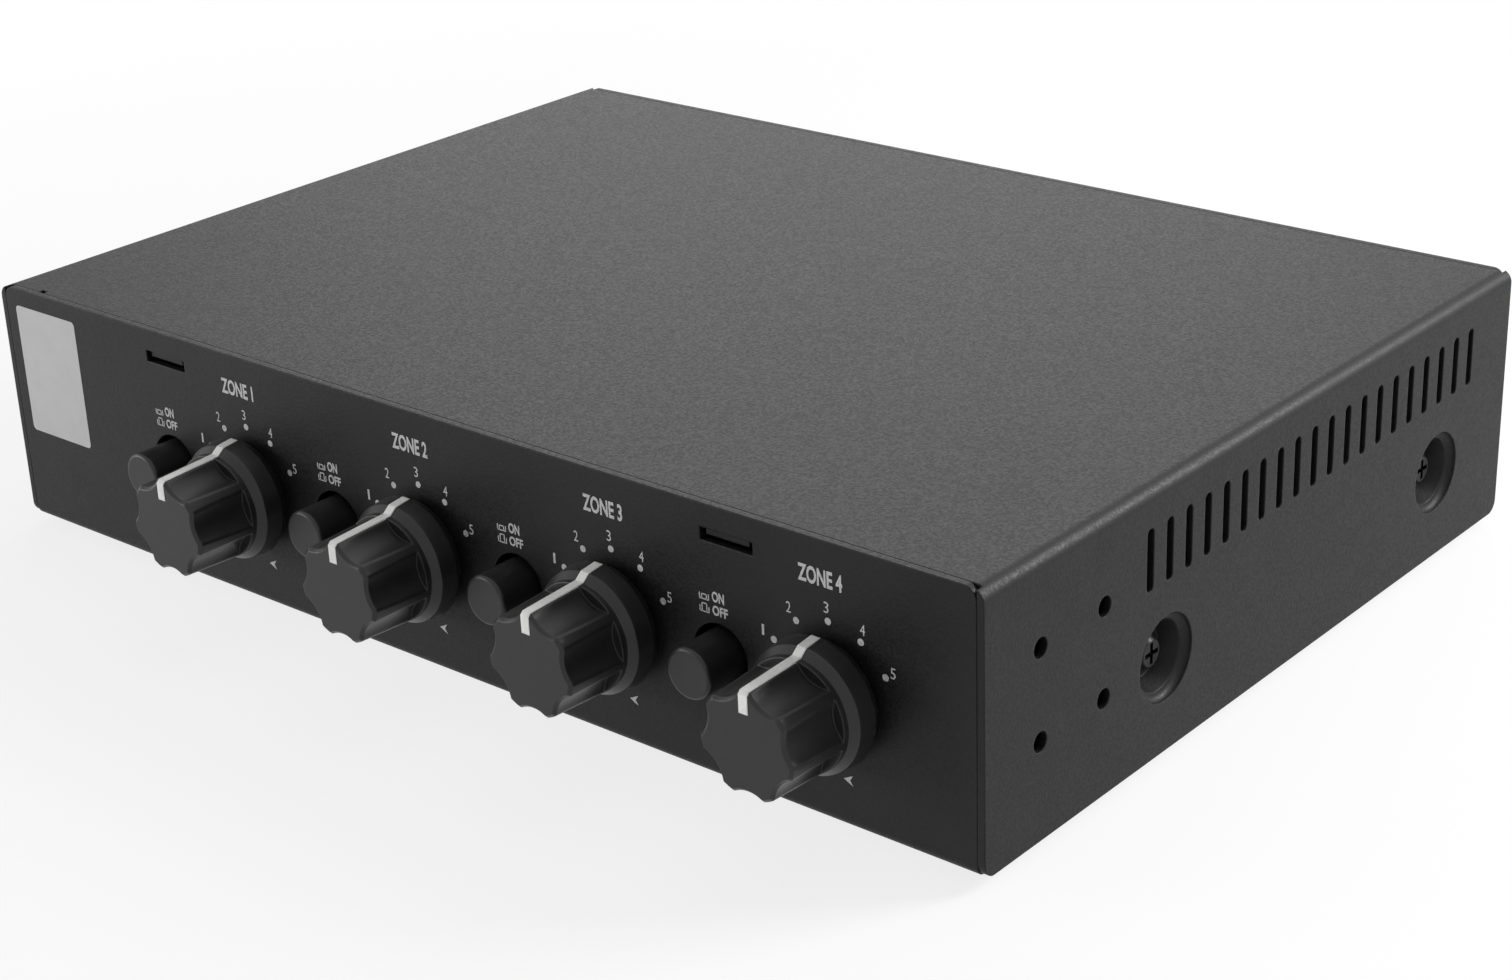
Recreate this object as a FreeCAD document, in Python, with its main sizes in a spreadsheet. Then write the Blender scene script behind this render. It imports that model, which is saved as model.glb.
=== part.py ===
import FreeCAD, Part
import os
import re

import Sketcher
from FreeCAD import Placement, Rotation, Vector

# Four-zone stereo speaker selector in a half-rack, one-unit steel case.
# Each zone has a five-step volume knob and a push button for on and off.
# The frame: +X to the right seen from the front, +Y to the back, +Z up.
# The origin is under the middle of the whole, knobs and terminals included,
# on the surface it stands on.

SIZES = {
    # Case, folded from steel sheet
    "case_width": 212.0,
    "case_depth": 151.2,
    "case_height": 44.0,
    "sheet_thick": 1.2,
    "cover_bend": 2.2,
    "tray_bend": 1.6,
    "seam_gap": 0.1,
    "panel_corner": 2.0,
    "cover_corner": 2.2,
    "relief_edge": 10.0,
    "relief_width": 1.5,
    "relief_depth": 1.0,
    "foot_height": 2.0,
    "foot_radius": 6.0,
    "foot_inset": 14.0,
    # Controls on the front panel, measured from its right edge and its bottom
    "zone_count": 4.0,
    "zone_edge": 26.4,
    "zone_pitch": 40.6,
    "axis_height": 20.5,
    "button_aside": 20.1,
    "lance_edge": 44.5,
    "lance_drop": 5.8,
    "lance_width": 9.8,
    "lance_tall": 2.0,
    "lance_gap": 0.9,
    "lance_inset": 0.45,
    # Vents, bracket holes and dished screw seats in each side
    "vent_count": 20.0,
    "vent_front": 40.2,
    "vent_back": 13.91,
    "vent_width": 1.8,
    "vent_drop": 6.1,
    "vent_long": 10.0,
    "ear_first": 13.0,
    "ear_low": 15.8,
    "ear_along": 15.6,
    "ear_up": 14.5,
    "ear_hole": 1.6,
    "dish_front": 45.0,
    "dish_back": 23.5,
    "dish_height": 15.4,
    "dish_radius": 7.0,
    "dish_round": 1.3,
    "dish_depth": 4.4,
    "dish_floor": 4.4,
    # Screws and the lugs and nuts that hold the cover
    "screw_radius": 1.5,
    "screw_gap": 0.2,
    "screw_head": 3.0,
    "head_tall": 1.9,
    "recess_wide": 0.75,
    "recess_long": 3.4,
    "recess_deep": 1.1,
    "cover_screw_long": 7.5,
    "lug_width": 14.0,
    "lug_tall": 22.0,
    "nut_radius": 3.2,
    "nut_tall": 2.0,
    # Knob, from the panel's face outwards
    "knob_reach": 18.4,
    "knob_lift": 1.2,
    "knob_foot": 9.3,
    "skirt_radius": 10.15,
    "skirt_low": 2.7,
    "skirt_top": 5.7,
    "skirt_top_radius": 9.8,
    "shoulder_top": 6.9,
    "shoulder_radius": 8.8,
    "face_radius": 8.3,
    "knob_cavity": 7.8,
    "cavity_top": 5.9,
    "flute_count": 7.0,
    "flute_radius": 5.0,
    "flute_valley": 7.15,
    "flute_floor": 7.9,
    "lobe_round": 0.7,
    "face_round": 0.45,
    "pointer_width": 1.6,
    "pointer_deep": 0.5,
    "pointer_proud": 0.06,
    "pointer_inner": 5.0,
    # Rotary switch behind the panel
    "shaft_radius": 3.0,
    "shaft_flat": 1.5,
    "shaft_reach": 14.6,
    "shaft_inside": 9.6,
    "fit_gap": 0.02,
    "running_gap": 0.05,
    "bushing_radius": 4.5,
    "bushing_reach": 4.8,
    "bushing_gap": 0.1,
    "rotary_side": 22.0,
    "rotary_corner": 3.0,
    "washer_radius": 6.8,
    "washer_tall": 0.6,
    "bushing_nut_flats": 12.0,
    "bushing_nut_tall": 2.2,
    # Push button and its switch
    "button_radius": 4.05,
    "button_gap": 1.05,
    "button_reach": 7.2,
    "button_tail": 2.6,
    "button_round": 0.6,
    "button_travel": 3.0,
    "plunger_radius": 1.7,
    "plunger_top": 3.4,
    "plunger_end": 11.0,
    "push_side": 9.0,
    "push_front": 7.2,
    # Boards inside
    "board_thick": 1.6,
    "control_back": 16.5,
    "control_lift": 2.2,
    "control_gap": 2.8,
    "board_edge": 10.0,
    "board_gap": 0.4,
    "standoff_tall": 5.0,
    "standoff_flats": 5.5,
    "standoff_stub": 2.1,
    "post_edge": 8.0,
    "post_front": 26.0,
    "post_back": 20.0,
    "board_screw_long": 4.2,
    "header_long": 20.3,
    "header_side": 2.5,
    "header_rise": 4.0,
    "pin_side": 0.64,
    "pin_pitch": 2.54,
    # Stereo autoformers, two to a zone
    "core_wide": 32.0,
    "core_tall": 27.0,
    "core_stack": 13.0,
    "core_leg": 9.0,
    "window_wide": 6.5,
    "window_tall": 17.0,
    "bobbin_wall": 1.0,
    "bobbin_gap": 0.1,
    "flange_gap": 0.4,
    "winding_gap": 0.4,
    "winding_corner": 2.5,
    "former_front": 58.0,
    "former_pitch": 36.0,
    # Screw terminals through the rear panel
    "terminal_count": 5.0,
    "terminal_left": 23.2,
    "terminal_right": 26.4,
    "pole_pitch": 5.08,
    "terminal_wide": 22.8,
    "terminal_tall": 12.4,
    "terminal_deep": 13.0,
    "terminal_proud": 2.2,
    "terminal_gap": 0.3,
    "wire_side": 3.6,
    "wire_deep": 5.0,
    "wire_rise": 1.6,
    "driver_radius": 1.9,
    "driver_deep": 4.0,
    "driver_rise": 8.6,
    "pole_gap": 0.2,
    "pole_screw_tall": 2.4,
    "clamp_deep": 2.5,
    "clamp_wall": 0.6,
}

ZONES = range(1, int(SIZES["zone_count"]) + 1)
OUTWARDS = Rotation(Vector(1, 0, 0), 90)
TO_RIGHT = Rotation(Vector(0, 1, 0), 90)
TO_LEFT = Rotation(Vector(0, 1, 0), -90)

doc = FreeCAD.newDocument("SpeakerSelector")
sheet = doc.addObject("Spreadsheet::Sheet", "Sizes")
parts = {}


def fill_sheet():
    """Write each size and its name into the spreadsheet."""
    for row, (name, size) in enumerate(SIZES.items(), start=1):
        sheet.set("A%d" % row, name)
        sheet.set("B%d" % row, str(size))
        sheet.setAlias("B%d" % row, name)
    doc.recompute()


def formula(text):
    """Point each size name in a formula at its cell."""
    def cell(word):
        return "Sizes." + word.group() if word.group() in SIZES else word.group()
    return re.sub(r"[a-z_]+", cell, text)


def value(text):
    """Work a formula out as a number."""
    return float(sheet.evalExpression(formula(text)))


def bind(item, **formulas):
    """Tie an object's properties to formulas."""
    for name, text in formulas.items():
        item.setExpression(name, formula(text))


def place(item, x="0", y="0", z="0", turn=None):
    """Turn an object, then tie its place to formulas."""
    if turn:
        item.Placement = Placement(Vector(), turn)
    for axis, text in (("x", x), ("y", y), ("z", z)):
        item.setExpression("Placement.Base." + axis, formula(text))


def new_body(label, export=True):
    """Start a sub-part of its own."""
    body = doc.addObject("PartDesign::Body", label)
    body.Label = label
    if export:
        parts[label] = body
    return body


def origin_item(body, role):
    """One of the body's own planes or axes."""
    return next(item for item in body.Origin.OriginFeatures if item.Role == role)


def sketch_on(body, plane, name, across="0", up="0", out="0"):
    """Start a sketch on a plane of the body, moved in or out along its normal."""
    sketch = body.newObject("Sketcher::SketchObject", body.Label + "_" + name)
    sketch.AttachmentSupport = [(origin_item(body, plane), "")]
    sketch.MapMode = "FlatFace"
    for axis, text in (("x", across), ("y", up), ("z", out)):
        sketch.setExpression("AttachmentOffset.Base." + axis, formula(text))
    return sketch


def pin(sketch, item, end, x, y):
    """Hold one point of a sketch at two formulas."""
    for axis, text in (("X", x), ("Y", y)):
        rule = Sketcher.Constraint("Distance" + axis, -1, 1, item, end, value(text))
        number = sketch.addConstraint(rule)
        name = "place%d" % number
        sketch.renameConstraint(number, name)
        sketch.setExpression("Constraints." + name, formula(text))


def hold_radius(sketch, item, radius):
    """Tie the radius of a circle or an arc to a formula."""
    number = sketch.addConstraint(Sketcher.Constraint("Radius", item, value(radius)))
    name = "radius%d" % number
    sketch.renameConstraint(number, name)
    sketch.setExpression("Constraints." + name, formula(radius))


def circle(sketch, x, y, radius):
    """Draw a circle by its centre and radius."""
    centre = Vector(value(x), value(y), 0)
    item = sketch.addGeometry(Part.Circle(centre, Vector(0, 0, 1), value(radius)))
    pin(sketch, item, 3, x, y)
    hold_radius(sketch, item, radius)


def arc_between(start, end, radius, turn):
    """A minor arc from start to end: turn is 1 anticlockwise, -1 clockwise."""
    chord = end - start
    side = Vector(-chord.y, chord.x, 0).normalize() * turn
    rise = max(radius ** 2 - (chord.Length / 2) ** 2, 0) ** 0.5
    centre = (start + end) / 2 + side * rise
    first, last = (start, end) if turn > 0 else (end, start)
    ray = Part.Circle(centre, Vector(0, 0, 1), radius)
    return Part.ArcOfCircle(ray, ray.parameter(first), ray.parameter(last))


def outline(sketch, corners):
    """Draw a closed outline. A corner is (x, y), or (x, y, radius, turn)
    where an arc instead of a line leads on to the next corner."""
    spots = [Vector(value(corner[0]), value(corner[1]), 0) for corner in corners]
    joints = []
    for index, corner in enumerate(corners):
        start = spots[index]
        end = spots[(index + 1) % len(corners)]
        if len(corner) == 2:
            item = sketch.addGeometry(Part.LineSegment(start, end))
            ends = (1, 2)
        else:
            item = sketch.addGeometry(arc_between(start, end, value(corner[2]), corner[3]))
            ends = (1, 2) if corner[3] > 0 else (2, 1)
        joints.append((item, ends))
    for index, (item, ends) in enumerate(joints):
        following, following_ends = joints[(index + 1) % len(joints)]
        sketch.addConstraint(
            Sketcher.Constraint("Coincident", item, ends[1], following, following_ends[0]))
    for (item, ends), corner in zip(joints, corners):
        pin(sketch, item, ends[0], corner[0], corner[1])
        if len(corner) == 4:
            hold_radius(sketch, item, corner[2])


def rectangle(sketch, left, low, right, high):
    """Draw a rectangle between two corners."""
    outline(sketch, [(left, low), (right, low), (right, high), (left, high)])


def rounded_rectangle(sketch, half_x, half_y, radius):
    """Draw a centred rectangle with round corners."""
    outline(sketch, [
        (f"{radius} - {half_x}", f"-{half_y}"),
        (f"{half_x} - {radius}", f"-{half_y}", radius, 1),
        (half_x, f"{radius} - {half_y}"),
        (half_x, f"{half_y} - {radius}", radius, 1),
        (f"{half_x} - {radius}", half_y),
        (f"{radius} - {half_x}", half_y, radius, 1),
        (f"-{half_x}", f"{half_y} - {radius}"),
        (f"-{half_x}", f"{radius} - {half_y}", radius, 1),
    ])


def hexagon(sketch, flats):
    """Draw a centred hexagon by its width across flats."""
    side = f"{flats} / 2 * tan(30)"
    tip = f"{flats} / 2 / cos(30)"
    outline(sketch, [
        (f"{flats} / 2", f"-{side}"), (f"{flats} / 2", side), ("0", tip),
        (f"-{flats} / 2", side), (f"-{flats} / 2", f"-{side}"), ("0", f"-{tip}"),
    ])


def upright_slot(sketch, x, low, high, radius):
    """Draw an upright slot with round ends."""
    outline(sketch, [
        (f"{x} - {radius}", f"{low} + {radius}", radius, 1),
        (x, low, radius, 1),
        (f"{x} + {radius}", f"{low} + {radius}"),
        (f"{x} + {radius}", f"{high} - {radius}", radius, 1),
        (x, high, radius, 1),
        (f"{x} - {radius}", f"{high} - {radius}"),
    ])


def finish_feature(body, feature, grows):
    """Compute a feature and make sure that it added or removed material."""
    before = body.Shape.Volume if body.Tip and not body.Shape.isNull() else 0
    body.Tip = feature
    doc.recompute()
    change = body.Shape.Volume - before
    if (change > 0) != grows or abs(change) < 1e-6:
        raise RuntimeError(feature.Name + " changed nothing")
    return feature


def pad(body, sketch, length, both=False, back=False):
    """Raise a sketch, from one side or evenly on both."""
    feature = doc.addObject("PartDesign::Pad", sketch.Name + "_pad")
    body.addObject(feature)
    feature.Profile = sketch
    feature.SideType = "Symmetric" if both else "One side"
    feature.Reversed = back
    bind(feature, Length=length)
    return finish_feature(body, feature, True)


def pocket(body, sketch, length=None, back=False):
    """Cut a sketch to a depth, or right through both ways."""
    feature = doc.addObject("PartDesign::Pocket", sketch.Name + "_pocket")
    body.addObject(feature)
    feature.Profile = sketch
    feature.Reversed = back
    if length:
        bind(feature, Length=length)
    else:
        feature.Type = "ThroughAll"
        feature.SideType = "Symmetric"
    return finish_feature(body, feature, False)


def revolve(body, sketch, axis="V_Axis"):
    """Turn a sketch once round an axis of its own."""
    feature = doc.addObject("PartDesign::Revolution", sketch.Name + "_turned")
    body.addObject(feature)
    feature.Profile = sketch
    feature.ReferenceAxis = (sketch, [axis])
    feature.Angle = 360
    return finish_feature(body, feature, True)


def row(body, features, axis, count, length, grows=False):
    """Repeat features in a row along an axis of the body."""
    pattern = doc.addObject("PartDesign::LinearPattern", features[0].Name + "_row")
    body.addObject(pattern)
    pattern.Originals = features
    pattern.Direction = (origin_item(body, axis), [""])
    bind(pattern, Length=length, Occurrences=count)
    return finish_feature(body, pattern, grows)


def ring(body, features, count):
    """Repeat features evenly round the body's Z axis."""
    pattern = doc.addObject("PartDesign::PolarPattern", features[0].Name + "_ring")
    body.addObject(pattern)
    pattern.Originals = features
    pattern.Axis = (origin_item(body, "Z_Axis"), [""])
    pattern.Angle = 360
    bind(pattern, Occurrences=count)
    return finish_feature(body, pattern, False)


def mirror(body, features, plane, grows=False):
    """Repeat features on the other side of a plane of the body."""
    copy = doc.addObject("PartDesign::Mirrored", features[0].Name + "_mirrored")
    body.addObject(copy)
    copy.Originals = features
    copy.MirrorPlane = (origin_item(body, plane), [""])
    return finish_feature(body, copy, grows)


def dress_edges(body, kind, name, wanted):
    """Start a fillet or a chamfer on the edges of the body that a test picks."""
    base = body.Tip
    names = ["Edge%d" % number
             for number, edge in enumerate(base.Shape.Edges, start=1) if wanted(edge)]
    if not names:
        raise RuntimeError(name + " found no edge")
    feature = doc.addObject("PartDesign::" + kind, body.Label + "_" + name)
    body.addObject(feature)
    feature.Base = (base, names)
    return feature


def round_edges(body, name, radius, wanted):
    """Round the edges of the body that a test picks."""
    feature = dress_edges(body, "Fillet", name, wanted)
    bind(feature, Radius=radius)
    return finish_feature(body, feature, False)


def bevel_edges(body, name, size, wanted):
    """Bevel the edges of the body that a test picks."""
    feature = dress_edges(body, "Chamfer", name, wanted)
    bind(feature, Size=size)
    return finish_feature(body, feature, False)


def group(label, master, spots):
    """Place copies of one piece as separate solids of one sub-part."""
    copies = []
    for number, (x, y, z, turn) in enumerate(spots, start=1):
        copy = doc.addObject("App::Link", "%s_%d" % (label, number))
        copy.LinkedObject = master
        place(copy, x, y, z, turn)
        copies.append(copy)
    joined = doc.addObject("Part::Compound", label)
    joined.Label = label
    joined.Links = copies
    parts[label] = joined


def zone_x(zone):
    """The X of a zone's knob axis."""
    return f"case_width / 2 - zone_edge - zone_pitch * (zone_count - {zone})"


MIDDLE = "(knob_reach + pointer_proud - terminal_proud) / 2"
FRONT = f"({MIDDLE} - case_depth / 2)"
BACK = f"({MIDDLE} + case_depth / 2)"
AXIS_Z = "foot_height + axis_height"
COVER_INSIDE = "case_width / 2 - sheet_thick"
BOARD_TOP = "sheet_thick + standoff_tall + board_thick"
BOARD_HALF = "(case_width / 2 - board_edge)"
LUG_OUTSIDE = "case_width / 2 - dish_depth - sheet_thick"
SCREW_HOLE = "screw_radius + screw_gap"
DISHES = (f"({FRONT} + dish_front)", f"({BACK} - dish_back)")
LANCE_LOW = "(case_height - lance_drop)"
VENT_HIGH = "(case_height - vent_drop)"
TERMINAL_PITCH = "(case_width - terminal_left - terminal_right) / (terminal_count - 1)"
POLE_SCREW = "driver_radius - pole_gap"


# Case

def make_chassis():
    """The tray: front panel, bottom and rear panel folded from one sheet."""
    body = new_body("chassis")
    profile = sketch_on(body, "YZ_Plane", "profile")
    inner = "tray_bend - sheet_thick"
    outline(profile, [
        (FRONT, "case_height"),
        (FRONT, "tray_bend", "tray_bend", 1),
        (f"{FRONT} + tray_bend", "0"),
        (f"{BACK} - tray_bend", "0", "tray_bend", 1),
        (BACK, "tray_bend"),
        (BACK, "case_height"),
        (f"{BACK} - sheet_thick", "case_height"),
        (f"{BACK} - sheet_thick", "tray_bend", inner, -1),
        (f"{BACK} - tray_bend", "sheet_thick"),
        (f"{FRONT} + tray_bend", "sheet_thick", inner, -1),
        (f"{FRONT} + sheet_thick", "tray_bend"),
        (f"{FRONT} + sheet_thick", "case_height"),
    ])
    pad(body, profile, "case_width - 2 * (sheet_thick + seam_gap)", both=True)
    top = value("case_height")
    round_edges(body, "corners", "panel_corner", lambda edge: (
        edge.BoundBox.YLength > 0.5 * value("sheet_thick")
        and edge.BoundBox.XLength < 1e-6
        and edge.BoundBox.ZMin > top - 1e-6))
    cut_front_holes(body)
    cut_lances(body)
    cut_rear_holes(body)
    add_lugs(body)
    cut_bottom_holes(body)
    place(body, z="foot_height")


def cut_front_holes(body):
    """Holes for the switch bushings and the push buttons."""
    holes = sketch_on(body, "XZ_Plane", "front_holes", out=f"-{FRONT}")
    circle(holes, zone_x(1), "axis_height", "bushing_radius + bushing_gap")
    circle(holes, button_x(1), "axis_height", "button_radius + button_gap")
    first = pocket(body, holes, "sheet_thick + 1")
    row(body, [first], "X_Axis", "zone_count", "zone_pitch * (zone_count - 1)")


def cut_lances(body):
    """Two tongues lanced in the front panel, hanging from their top edge."""
    left = "case_width / 2 - lance_edge - lance_width / 2"
    right = "case_width / 2 - lance_edge + lance_width / 2"
    low = LANCE_LOW
    high = f"{low} + lance_tall"
    slit = sketch_on(body, "XZ_Plane", "lance_slit", out=f"-{FRONT}")
    outline(slit, [
        (left, low), (right, low), (right, high),
        (f"{right} - lance_gap", high), (f"{right} - lance_gap", f"{low} + lance_gap"),
        (f"{left} + lance_gap", f"{low} + lance_gap"), (f"{left} + lance_gap", high),
        (left, high),
    ])
    slit_cut = pocket(body, slit, "sheet_thick + 1")
    tongue = sketch_on(body, "XZ_Plane", "lance_tongue", out=f"-{FRONT}")
    rectangle(tongue, f"{left} + lance_gap", f"{low} + lance_gap",
              f"{right} - lance_gap", high)
    tongue_cut = pocket(body, tongue, "lance_inset")
    mirror(body, [slit_cut, tongue_cut], "YZ_Plane")


def cut_rear_holes(body):
    """Windows in the rear panel for the screw terminals."""
    window = sketch_on(body, "XZ_Plane", "terminal_windows", out=f"-{BACK}")
    rectangle(window, f"{terminal_x(0)} - terminal_wide / 2 - terminal_gap",
              f"{BOARD_TOP} - terminal_gap",
              f"{terminal_x(0)} + terminal_wide / 2 + terminal_gap",
              f"{BOARD_TOP} + terminal_tall + terminal_gap")
    first = pocket(body, window, "sheet_thick + 1", back=True)
    row(body, [first], "X_Axis", "terminal_count", f"{TERMINAL_PITCH} * (terminal_count - 1)")


def add_lugs(body):
    """Four upright lugs that the cover's side screws pull against."""
    feet = sketch_on(body, "XY_Plane", "lugs", out="sheet_thick / 2")
    for along in DISHES:
        low = f"{along} - lug_width / 2"
        rectangle(feet, f"{LUG_OUTSIDE} - sheet_thick", low, LUG_OUTSIDE, f"{low} + lug_width")
    right = pad(body, feet, "lug_tall")
    mirror(body, [right], "YZ_Plane", grows=True)
    holes = sketch_on(body, "YZ_Plane", "lug_holes")
    for along in DISHES:
        circle(holes, along, "dish_height", SCREW_HOLE)
    pocket(body, holes)


def cut_bottom_holes(body):
    """Holes for the clinched board standoffs."""
    holes = sketch_on(body, "XY_Plane", "standoff_holes")
    for x, y in standoff_spots():
        circle(holes, x, y, "standoff_stub")
    pocket(body, holes, "sheet_thick", back=True)


def standoff_spots():
    """Six places under the main board, as formulas."""
    rows = (f"{FRONT} + post_front", f"{BACK} - post_back")
    across = f"({BOARD_HALF} - post_edge)"
    return [(x, y) for x in (f"-{across}", "0", across) for y in rows]


def make_cover():
    """The wrap: top and both sides folded from one sheet."""
    body = new_body("top_cover")
    half = "case_width / 2"
    inner = "cover_bend - sheet_thick"
    profile = sketch_on(body, "XZ_Plane", "profile", out=f"-{MIDDLE}")
    outline(profile, [
        (f"-{half}", "0"),
        (f"-{COVER_INSIDE.replace(' - ', ' + ')}", "0"),
        (f"sheet_thick - {half}", "case_height - cover_bend", inner, -1),
        (f"cover_bend - {half}", "case_height - sheet_thick"),
        (f"{half} - cover_bend", "case_height - sheet_thick", inner, -1),
        (f"{half} - sheet_thick", "case_height - cover_bend"),
        (COVER_INSIDE, "0"),
        (half, "0"),
        (half, "case_height - cover_bend", "cover_bend", 1),
        (f"{half} - cover_bend", "case_height"),
        (f"cover_bend - {half}", "case_height", "cover_bend", 1),
        (f"-{half}", "case_height - cover_bend"),
    ])
    pad(body, profile, "case_depth", both=True)
    round_edges(body, "corners", "cover_corner", lambda edge: (
        edge.BoundBox.ZMax < 1e-6 and edge.BoundBox.YLength < 1e-6))
    trim_cover_ends(body)
    cut_vents(body)
    cut_ear_holes(body)
    for side in (1, -1):
        for number, along in enumerate(DISHES):
            form_dish(body, side, number, along)
    place(body, z="foot_height")


def trim_cover_ends(body):
    """Room for the edges of the front and rear panels, and a bend relief."""
    ends = sketch_on(body, "XY_Plane", "ends", out="case_height + 1")
    trim = "sheet_thick + seam_gap"
    rectangle(ends, f"-({COVER_INSIDE})", f"{FRONT} - 1", COVER_INSIDE, f"{FRONT} + {trim}")
    rectangle(ends, f"-({COVER_INSIDE})", f"{BACK} - ({trim})", COVER_INSIDE, f"{BACK} + 1")
    pocket(body, ends, "sheet_thick + 2")
    relief = sketch_on(body, "XY_Plane", "relief", out="case_height + 1")
    place_x = "(relief_edge - case_width / 2)"
    rectangle(relief, f"{place_x} - relief_width / 2", f"{FRONT} + {trim} - 0.5",
              f"{place_x} + relief_width / 2", f"{FRONT} + {trim} + relief_depth")
    pocket(body, relief, "sheet_thick + 2")


def cut_vents(body):
    """A row of upright slots in each side."""
    slot = sketch_on(body, "YZ_Plane", "vent")
    upright_slot(slot, f"{FRONT} + vent_front", f"{VENT_HIGH} - vent_long", VENT_HIGH,
                 "vent_width / 2")
    first = pocket(body, slot)
    row(body, [first], "Y_Axis", "vent_count", "case_depth - vent_front - vent_back")


def cut_ear_holes(body):
    """Four holes in each side for a rack bracket or a joining plate."""
    holes = sketch_on(body, "YZ_Plane", "ear_holes")
    for along in ("ear_first", "ear_first + ear_along"):
        for up in ("ear_low", "ear_low + ear_up"):
            circle(holes, f"{FRONT} + {along}", up, "ear_hole")
    pocket(body, holes)


def form_dish(body, side, number, along):
    """A dished seat that sinks a cover screw into the side.
    In the sketch, x runs out through the side and y is the radius."""
    face = f"{side} * case_width / 2"
    name = "dish_%s%d" % ("right" if side > 0 else "left", number)
    frame = {"up": "dish_height", "out": f"-{along}"}

    def depth(text):
        return f"{face} - {side} * ({text})"

    opening = sketch_on(body, "YZ_Plane", name + "_opening",
                        across=along, up="dish_height", out=depth("sheet_thick + 1"))
    circle(opening, "0", "0", "dish_radius")
    pocket(body, opening, "sheet_thick + 2", back=side > 0)
    wall = sketch_on(body, "XZ_Plane", name, **frame)
    lip = "dish_radius - dish_round"
    outline(wall, [
        (depth("0"), "dish_radius", "dish_round", side),
        (depth("dish_round"), lip),
        (depth("dish_depth"), "dish_floor"),
        (depth("dish_depth"), SCREW_HOLE),
        (depth("dish_depth + sheet_thick"), SCREW_HOLE),
        (depth("dish_depth + sheet_thick"), "dish_floor + sheet_thick / 2"),
        (depth("sheet_thick"), "dish_radius + sheet_thick / 2"),
        (depth("0"), "dish_radius + sheet_thick / 2"),
    ])
    revolve(body, wall, "H_Axis")


def make_feet():
    """Four thin rubber feet, set in from the corners."""
    foot = new_body("foot_master", export=False)
    profile = sketch_on(foot, "XZ_Plane", "profile")
    outline(profile, [
        ("0", "0"), ("foot_radius - 1", "0"), ("foot_radius", "foot_height / 2"),
        ("foot_radius", "foot_height"), ("0", "foot_height"),
    ])
    revolve(foot, profile)
    x = "case_width / 2 - foot_inset"
    group("rubber_feet", foot, [
        (f"{side} * ({x})", y, "0", None) for side in (-1, 1)
        for y in (f"{FRONT} + foot_inset", f"{BACK} - foot_inset")])


# Fasteners

def plain_screw(label, length):
    """A pan-head screw, head up, its seat at z = 0."""
    body = new_body(label, export=False)
    profile = sketch_on(body, "XZ_Plane", "profile")
    outline(profile, [
        ("0", f"-{length}"), ("screw_radius", f"-{length}"), ("screw_radius", "0"),
        ("screw_head", "0"), ("screw_head", "head_tall / 2"),
        ("screw_head * 0.7", "head_tall"), ("0", "head_tall"),
    ])
    revolve(body, profile)
    return body


def cross_screw(label, length):
    """The same screw with a cross recess."""
    body = plain_screw(label, length)
    wide = "recess_wide / 2"
    long = "recess_long / 2"
    cross = sketch_on(body, "XY_Plane", "cross", out="head_tall + 1")
    outline(cross, [
        (f"-{wide}", f"-{long}"), (wide, f"-{long}"), (wide, f"-{wide}"),
        (long, f"-{wide}"), (long, wide), (wide, wide),
        (wide, long), (f"-{wide}", long), (f"-{wide}", wide),
        (f"-{long}", wide), (f"-{long}", f"-{wide}"), (f"-{wide}", f"-{wide}"),
    ])
    pocket(body, cross, "recess_deep + 1")
    return body


def side_spots(depth):
    """The four screw places in the sides, at a depth under the side face."""
    spots = []
    for side, turn in ((1, TO_RIGHT), (-1, TO_LEFT)):
        for along in DISHES:
            spots.append((f"{side} * (case_width / 2 - ({depth}))", along,
                          "foot_height + dish_height", turn))
    return spots


def make_cover_fasteners():
    """Cover screws and the clinch nuts behind the lugs."""
    screw = cross_screw("cover_screw_master", "cover_screw_long")
    group("cover_screws", screw, side_spots("dish_depth"))
    nut = new_body("clinch_nut_master", export=False)
    section = sketch_on(nut, "XY_Plane", "section")
    circle(section, "0", "0", "nut_radius")
    circle(section, "0", "0", "screw_radius + running_gap")
    pad(nut, section, "nut_tall", back=True)
    group("clinch_nuts", nut, side_spots("dish_depth + 2 * sheet_thick"))


def make_board_fasteners():
    """Standoffs clinched into the tray, and the screws on top of them."""
    post = new_body("standoff_master", export=False)
    stub = sketch_on(post, "XY_Plane", "stub")
    circle(stub, "0", "0", "standoff_stub")
    pad(post, stub, "sheet_thick", back=True)
    hexed = sketch_on(post, "XY_Plane", "hex")
    hexagon(hexed, "standoff_flats")
    pad(post, hexed, "standoff_tall")
    thread = sketch_on(post, "XY_Plane", "thread", out="standoff_tall")
    circle(thread, "0", "0", "screw_radius + running_gap")
    pocket(post, thread, "standoff_tall - 1")
    spots = standoff_spots()
    group("board_standoffs", post,
          [(x, y, "foot_height + sheet_thick", None) for x, y in spots])
    screw = plain_screw("board_screw_master", "board_screw_long")
    group("board_screws", screw,
          [(x, y, f"foot_height + {BOARD_TOP}", None) for x, y in spots])


# Volume knob and rotary switch: z = 0 is the panel's face and +z points out

def make_knob(zone):
    """A skirted knob with seven flutes and a white pointer up one lobe."""
    body = new_body("volume_knob_%d" % zone)
    profile = sketch_on(body, "XZ_Plane", "profile")
    bore = "shaft_radius + fit_gap"
    outline(profile, [
        (bore, "cavity_top"), ("knob_cavity", "cavity_top"), ("knob_cavity", "knob_lift"),
        ("knob_foot", "knob_lift"), ("skirt_radius", "skirt_low"),
        ("skirt_top_radius", "skirt_top"), ("shoulder_radius", "shoulder_top"),
        ("face_radius", "knob_reach"), ("0", "knob_reach"),
        ("0", "shaft_reach + fit_gap"), (bore, "shaft_reach + fit_gap"),
    ])
    revolve(body, profile)
    cut_flutes(body)
    pointer_strip(body, "groove", "1")
    place(body, zone_x(zone), FRONT, AXIS_Z, OUTWARDS)


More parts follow.
